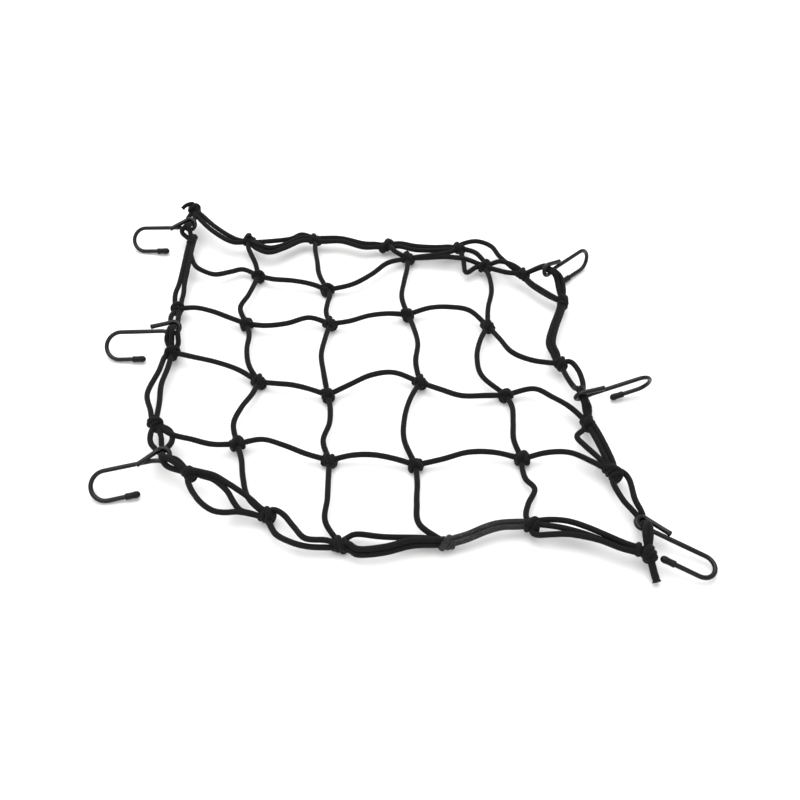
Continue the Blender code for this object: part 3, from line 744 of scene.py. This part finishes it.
def cords_piece(name, routes, seed, finish=cord_black):
    body = bmesh.new()
    for number, route in enumerate(routes):
        sweep(body, route, squeezed(route, thickness(route, seed + number)), CORD_SIDES)
    piece = finished_piece(name, body, finish)
    length = sum((b - a).length for route in routes for a, b in zip(route, route[1:]))
    print(name, len(routes), "cords", round(length), "mm", len(piece.data.polygons), "faces")
    return length


mesh_routes = [mesh_route(cord) for cord in MESH_CORDS]
cord_length = cords_piece("mesh_cords_across", mesh_routes[:MESH_ACROSS], ACROSS_SEED)
cord_length += cords_piece("mesh_cords_along", mesh_routes[MESH_ACROSS:], ALONG_SEED)

# %% Border cords
BORDER_OF = {"L": "border_left", "B": "border_near", "T": "border_far", "K": "border_far",
             "R": "border_right"}
FADED_FROM = "B3"         # the cords from this knot have faded to grey

border = {name: [] for name in (*BORDER_OF.values(), "border_near_faded")}
for cord in BORDER_CORDS:
    name = "border_near_faded" if cord.start == FADED_FROM else BORDER_OF[cord.start[0]]
    border[name].append(border_route(cord))
for name, rows in LONG_CORDS.items():
    border.setdefault(name, []).extend(long_route(stops) for stops in rows)
for number, (name, routes) in enumerate(border.items()):
    finish = cord_faded if name == "border_near_faded" else cord_black
    cord_length += cords_piece(name, routes, BORDER_SEED + BORDER_SEEDS * number, finish)

# %% [markdown]
# ## The cut ends
#
# Where the cord is cut, a maker melts its end so that the braid can't open. The sleeve
# draws in a little before the cut and swells where the melted yarn has set.

# %% Cut ends
CUT_STEP = 0.5
CUT_LIP = 1.22            # how wide the melted lip is, in cord widths
CUT_LIP_LENGTH = 1.4
CUT_LIP_CURVE = 1.5       # 1 would be a straight flare
CUT_NECK = 0.95
CUT_NECK_LENGTH = 5.0
CUT_END_LENGTH = 0.15     # how round the cut is: 1 would be half a ball
CUT_WIDTH = {"cut_end_far_left": 0.8, "cut_end_far_border": 1.0, "tail_near_right": 1.25}


def cut_end(name, stops, seed):
    """A loose end from its knot to its cut, and its length."""
    route = long_route(stops, CUT_STEP)
    radii = thickness(route, seed, CORD_RADIUS * CUT_WIDTH[name])
    left = 0.0
    for i in range(len(route) - 1, 0, -1):
        lip = max(0.0, 1 - left / CUT_LIP_LENGTH)
        neck = max(0.0, 1 - left / CUT_NECK_LENGTH)
        radii[i] *= 1 + (CUT_LIP - CUT_NECK) * lip ** CUT_LIP_CURVE + (CUT_NECK - 1) * neck
        left += (route[i] - route[i - 1]).length
    body = bmesh.new()
    sweep(body, route, radii, CORD_SIDES, CUT_END_LENGTH)
    finished_piece(name, body, cord_black)
    print(name, round(left), "mm long")
    return left


for number, (name, stops) in enumerate(CUT_ENDS.items()):
    cord_length += cut_end(name, stops, CUT_SEED + number)

# %% [markdown]
# ## The knots
#
# Each knot is a turn or two of cord wound round the cords that cross there, with one
# strand laid aslant over the turns before it is pulled tight. A maker sees a short
# barrel with ridges and a diagonal across it. It is wound here as the hand winds it: the
# route comes out of the middle, goes round, and dives back in. Two ridges carved into a
# lump would look pressed, not tied.

# %% Winding a knot
KNOT_STEP = 1.3
KNOT_CORD = 2.3           # radius of the cord where it is pulled tight
TURN_STEPS = 10           # stops on each turn
WIND_IN = 0.35            # share of a turn in which the cord comes out of the middle
SLANT_RISE = 2.0          # how far the slanting strand rises over the turns
SLANT_DIP = 1.4           # and how far it has sunk where it leaves them
SLANT_PAST = 2.6          # how far it reaches past an outer turn's middle
SLANT_REACH = 64          # degrees that it starts and ends beside the top
SLANT_STEPS = 3           # on either side of its middle
SLANT_ROOT = 0.8          # where it comes out of the knot, as a share of its reach
SLANT_DEPTH = 0.5         # and how far above the knot's middle
LEANS = (14, -22, 8, -12, 24, -6, 18)  # degrees, to which side the slanting strand leans


def round_the_stack(name, stack, angle, reach):
    """A place so far along a knot's stack, and so far out from it at an angle."""
    heading, a = math.radians(KNOTS[name].heading), math.radians(angle)
    along = Vector((math.cos(heading), math.sin(heading), 0.0))
    across = Vector((-math.sin(heading), math.cos(heading), 0.0))
    up = Vector((0, 0, 1))
    return place(name) + along * stack + (across * math.cos(a) + up * math.sin(a)) * reach


def wound_turns(name, hand):
    """The turns of a knot, from the middle outwards, round and back in."""
    knot = KNOTS[name]
    reach = knot.ridge - KNOT_CORD
    first = -knot.turns / 2 * TURN_PITCH
    places, steps = [], TURN_STEPS * (knot.turns + 1)
    for step in range(steps + 1):
        turns = -0.5 + (knot.turns + 1) * step / steps
        out = max(0.0, min(1.0, (turns + 0.5) / WIND_IN, (knot.turns + 0.5 - turns) / WIND_IN))
        stack = first + TURN_PITCH * max(0.0, min(knot.turns, turns))
        angle = -90 + hand * 360 * turns
        places.append(round_the_stack(name, stack, angle, reach * math.sin(out * math.pi / 2)))
    return places


def slanting_strand(name, hand, lean):
    """The strand that crosses a knot's turns from one side to the other."""
    knot = KNOTS[name]
    reach = knot.ridge - KNOT_CORD
    half = (knot.turns - 1) / 2 * TURN_PITCH + SLANT_PAST
    top, turn = 90 + lean, hand * SLANT_REACH
    places = [round_the_stack(name, -half * SLANT_ROOT, top + turn, SLANT_DEPTH)]
    for step in range(2 * SLANT_STEPS + 1):
        share = step / SLANT_STEPS - 1
        lift = reach + SLANT_RISE * (1 - abs(share) ** 3) - SLANT_DIP * abs(share) ** 3
        places.append(round_the_stack(name, half * share, top - turn * share, lift))
    places.append(round_the_stack(name, half * SLANT_ROOT, top - turn, SLANT_DEPTH))
    return places


# %% [markdown]
# No two knots are pulled alike. The hand that winds it, and how the slanting strand
# leans, come from a short list that the knots go through in turn.

# %% All knots, side by side
KNOTS_OF = {"K": "mesh_knots", "L": "border_knots_left", "B": "border_knots_near",
            "T": "border_knots_far", "R": "border_knots_right"}


def knots_piece(piece_name, names, finish=cord_black):
    body = bmesh.new()
    for number, name in enumerate(names):
        hand = 1 if number % 3 else -1
        lean = LEANS[number % len(LEANS)]
        for places in (wound_turns(name, hand), slanting_strand(name, -hand, lean)):
            route = smooth_route(places, KNOT_STEP)
            sweep(body, route, thickness(route, number + 0.5, KNOT_CORD), CORD_SIDES)
    piece = finished_piece(piece_name, body, finish)
    print(piece_name, len(names), "knots", len(piece.data.polygons), "faces")


knots = {name: [] for name in (*KNOTS_OF.values(), "border_knot_faded")}
for name in KNOTS:
    knots["border_knot_faded" if name == FADED_FROM else KNOTS_OF[name[0]]].append(name)
for piece_name, names in knots.items():
    knots_piece(piece_name, names, cord_faded if FADED_FROM in names else cord_black)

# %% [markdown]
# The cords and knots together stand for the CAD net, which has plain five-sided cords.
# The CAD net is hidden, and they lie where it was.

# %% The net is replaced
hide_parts("net")
print("cord in the net, without the turns of its knots:", round(cord_length), "mm")

# %% [markdown]
# ## The hooks
#
# A hook is 3 mm steel wire, bent cold and dipped in black plastic. The bends are true
# arcs, so they are worked out from their middles and radii, as in the CAD but in finer
# steps, with a rounder wire and a slightly smaller eye. The coat is thicker on the short
# leg and the eye, where the hook drips dry, and gathers in a drop at the leg's cut end.

# %% Coated wire
EYE_STEPS = 60
BEND_STEPS = 40
STRAIGHT_STEP = 2.5
DROP_SWELL = 1.08
WIRE_END_LENGTH = 0.4     # how round the wire's end is: 1 would be half a ball


def arc(middle_u, middle_v, radius, first, last, steps):
    """Places (u, v, rise) on an arc from one angle to another, in degrees."""
    angles = [math.radians(first + (last - first) * step / steps) for step in range(steps + 1)]
    return [(middle_u + radius * math.cos(a), middle_v + radius * math.sin(a), 0.0)
            for a in angles]


def straight_steps(start, end):
    """Places between two others, without the two themselves."""
    pieces = max(1, round(math.dist(start, end) / STRAIGHT_STEP))
    return [tuple(a + (b - a) * piece / pieces for a, b in zip(start, end))
            for piece in range(1, pieces)]


def hook_outline(hook):
    """The bent wire from its short leg over the eye, shank and bend to the tip's side."""
    bend = hook.width / 2
    eye = arc(0, -EYE_DROP, EYE_RADIUS, EYE_START, EYE_END, EYE_STEPS)
    turn = arc(hook.reach - bend, bend, bend, -90, 90, BEND_STEPS)
    corners = [[(hook.leg, hook.leg_side, hook.leg_rise)], eye, [(SHANK_START, 0.0, 0.0)], turn,
               [(hook.tip + CAP_WALL, hook.width, 0.0)]]
    outline = []
    for piece in corners:
        if outline:
            outline += straight_steps(outline[-1], piece[0])
        outline += piece
    return outline


# %% [markdown]
# The dipped coat is satin, with a faint orange peel, and it is rubbed where the hook
# slides over a rail. Rubbed plastic is smoother and a little paler. The noise that says
# where is a node group, because the caps are rubbed in the same way.

# %% Node group for rubbed plastic
RUBBED_WHOLLY = 0.78      # the noise's value where it is rubbed smooth


def rub_group():
    group = bpy.data.node_groups.new("Rubbed plastic", "ShaderNodeTree")
    given, result = group_sockets(
        group, (("Patch size", "NodeSocketFloat", 60.0), ("Grain size", "NodeSocketFloat", 900.0),
                ("Rubbed from", "NodeSocketFloat", 0.55)), ("Rubbed", "Grain"))
    where = group.nodes.new("ShaderNodeTexCoord")
    sources = []
    for scale, detail in (("Patch size", 4.0), ("Grain size", 2.0)):
        texture = group.nodes.new("ShaderNodeTexNoise")
        texture.inputs["Detail"].default_value = detail
        group.links.new(given[scale], texture.inputs["Scale"])
        group.links.new(where.outputs["Object"], texture.inputs["Vector"])
        sources.append(texture.outputs[0])
    reach = group.nodes.new("ShaderNodeMapRange")
    group.links.new(sources[0], reach.inputs["Value"])
    group.links.new(given["Rubbed from"], reach.inputs["From Min"])
    reach.inputs["From Max"].default_value = RUBBED_WHOLLY
    group.links.new(reach.outputs["Result"], result["Rubbed"])
    group.links.new(sources[1], result["Grain"])
    return group


rub = rub_group()


def plastic_finish(name, colour, rubbed_colour, roughness, rubbed_roughness, shine, patch,
                   grain, relief):
    """Plastic that is rubbed in patches. patch and grain are the scales of its noises."""
    finish = bpy.data.materials.new(name)
    finish.use_nodes = True
    tree = finish.node_tree
    shader = tree.nodes["Principled BSDF"]
    wear = tree.nodes.new("ShaderNodeGroup")
    wear.node_tree = rub
    wear.inputs["Patch size"].default_value = patch
    wear.inputs["Grain size"].default_value = grain
    worn_colour = mixed_colour(tree, wear.outputs["Rubbed"], colour, rubbed_colour)
    tree.links.new(worn_colour, shader.inputs["Base Color"])
    smoother = rubbed_roughness - roughness
    rough = math_node(tree, "MULTIPLY_ADD", wear.outputs["Rubbed"], smoother, roughness)
    tree.links.new(rough, shader.inputs["Roughness"])
    tree.links.new(bump(tree, wear.outputs["Grain"], relief, 0.4), shader.inputs["Normal"])
    shader.inputs["Specular IOR Level"].default_value = shine
    return finish


coated_wire = plastic_finish(
    "coated_wire", colour=(0.0015, 0.0015, 0.0017), rubbed_colour=(0.006, 0.006, 0.006),
    roughness=0.25, rubbed_roughness=0.18, shine=0.28, patch=60.0, grain=900.0, relief=0.08)
soft_cap = plastic_finish(
    "soft_cap", colour=(0.004, 0.004, 0.0042), rubbed_colour=(0.010, 0.010, 0.010),
    roughness=0.42, rubbed_roughness=0.32, shine=0.16, patch=90.0, grain=1500.0, relief=0.06)

# %% [markdown]
# ## The caps
#
# A soft cap is pulled over the tip so that it can't scratch. It is a turned shape: a
# domed end, a sleeve with a slight waist, and a thick lip where it was stripped off its
# mould. Its outline is written as (depth, radius), from the tip down and in at the lip.

# %% Hooks and caps
CAP_OUTSIDE = ((0.0, 0.0), (0.12, 0.8), (0.45, 1.55), (1.0, 2.2), (1.75, 2.7), (2.7, 3.0),
               (3.7, 3.1), (4.7, 3.04), (5.7, 2.92), (6.9, 2.82), (8.6, 2.8), (10.6, 2.9),
               (11.6, 2.98), (12.3, 2.88), (12.75, 2.55), (12.75, 2.3), (12.3, 2.12),
               (11.0, 2.08))
CAP_STEPS = 28            # round a cap


def turned_cap(name, hook):
    """The cap's outline, turned about the line of the tip's side."""
    along, across, normal = hook_axes(hook)
    tip = hook_place(hook, hook.tip, hook.width)
    body = bmesh.new()
    skin = body.loops.layers.uv.verify()
    rows = []
    for depth, radius in CAP_OUTSIDE:
        middle = tip + along * depth
        angles = [math.tau * step / CAP_STEPS for step in range(CAP_STEPS if radius else 1)]
        rows.append([body.verts.new(ring_corner(middle, across, normal, angle, radius))
                     for angle in angles])
    for upper, lower in zip(rows, rows[1:]):
        for step in range(CAP_STEPS):
            following = (step + 1) % CAP_STEPS
            corners = [lower[step], lower[following]] + (
                [upper[following], upper[step]] if len(upper) > 1 else [upper[0]])
            face = body.faces.new(corners)
            for corner in face.loops:
                corner[skin].uv = (step / CAP_STEPS, rows.index(lower) / len(rows))
    body.faces.new(rows[-1])
    return finished_piece(name, body, soft_cap)


for number, (name, hook) in enumerate(HOOKS.items()):
    outline = hook_outline(hook)
    bent_at = outline.index((SHANK_START, 0.0, 0.0))
    route = [hook_place(hook, *stop) for stop in outline]
    radii = [radius * (EYE_COAT + (1 - EYE_COAT) * min(1.0, index / bent_at))
             for index, radius in enumerate(thickness(route, WIRE_SEED + number, WIRE_RADIUS))]
    radii[0] *= DROP_SWELL
    body = bmesh.new()
    sweep(body, route, radii, WIRE_SIDES, WIRE_END_LENGTH)
    wire = finished_piece(name + "_wire", body, coated_wire)
    cap = turned_cap(name + "_soft_cap", hook)
    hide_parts(name)
    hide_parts(name + "_cap")
    print(name, len(wire.data.polygons), "faces in its wire and", len(cap.data.polygons),
          "in its cap")

# %% [markdown]
# ## Table, light and camera
#
# The net lies on a white table in a white room. A broad soft light over its far side gives
# every cord a pale shadow in front of it, and a weak one in front rounds the near sides.
# The table fills the photograph's view.

# %% Table
TABLE_SIDE = 14.0


def table_finish():
    finish = bpy.data.materials.new("white_table")
    finish.use_nodes = True
    tree = finish.node_tree
    shader = tree.nodes["Principled BSDF"]
    cloudy = place_noise(tree, 3.0)
    colour = mixed_colour(tree, cloudy, (0.90, 0.90, 0.895), (0.93, 0.93, 0.925))
    tree.links.new(colour, shader.inputs["Base Color"])
    shader.inputs["Roughness"].default_value = 0.9
    shader.inputs["Specular IOR Level"].default_value = 0.1
    return finish


table_mesh = bpy.data.meshes.new("table")
half = TABLE_SIDE / 2
corners = [(-half, -half, 0), (half, -half, 0), (half, half, 0), (-half, half, 0)]
table_mesh.from_pydata(corners, [], [(0, 1, 2, 3)])
table_mesh.materials.append(table_finish())
table = bpy.data.objects.new("table", table_mesh)
bpy.context.scene.collection.objects.link(table)

# %% Lights
def soft_light(name, place_m, size, watts):
    """A round lamp that faces the middle of the net."""
    lamp = bpy.data.lights.new(name, "AREA")
    lamp.shape, lamp.size, lamp.energy = "DISK", size, watts
    made = bpy.data.objects.new(name, lamp)
    made.location = place_m
    made.rotation_euler = (-Vector(place_m)).to_track_quat("-Z", "Y").to_euler()
    bpy.context.scene.collection.objects.link(made)


soft_light("light_behind", (-0.1, 0.75, 2.2), size=2.6, watts=46)
soft_light("light_in_front", (-0.6, -1.0, 2.0), size=2.0, watts=10)

world = bpy.data.worlds.new("pale room")
world.use_nodes = True
background = world.node_tree.nodes["Background"]
background.inputs["Color"].default_value = (1.0, 1.0, 1.0, 1.0)
background.inputs["Strength"].default_value = 0.9
bpy.context.scene.world = world
bpy.context.scene.view_settings.view_transform = "Standard"

# %% [markdown]
# The photograph looks down on the net at about 49 degrees, from nearly a metre away. Its
# perspective was found from the near and far edges of the mesh.

# %% Camera
lens = bpy.data.cameras.new("camera")
lens.lens, lens.sensor_width = 45.0, 36.0
camera = bpy.data.objects.new("camera", lens)
camera.location = (0.0146, -0.6395, 0.6988)
camera.rotation_euler = (math.radians(41.0), 0.0, 0.0)
bpy.context.scene.collection.objects.link(camera)
bpy.context.scene.camera = camera

# %% [markdown]
# ## The last update
#
# The view layer is brought up to date once more, so that every piece stands where it was
# put.

# %% The last update
bpy.context.view_layer.update()
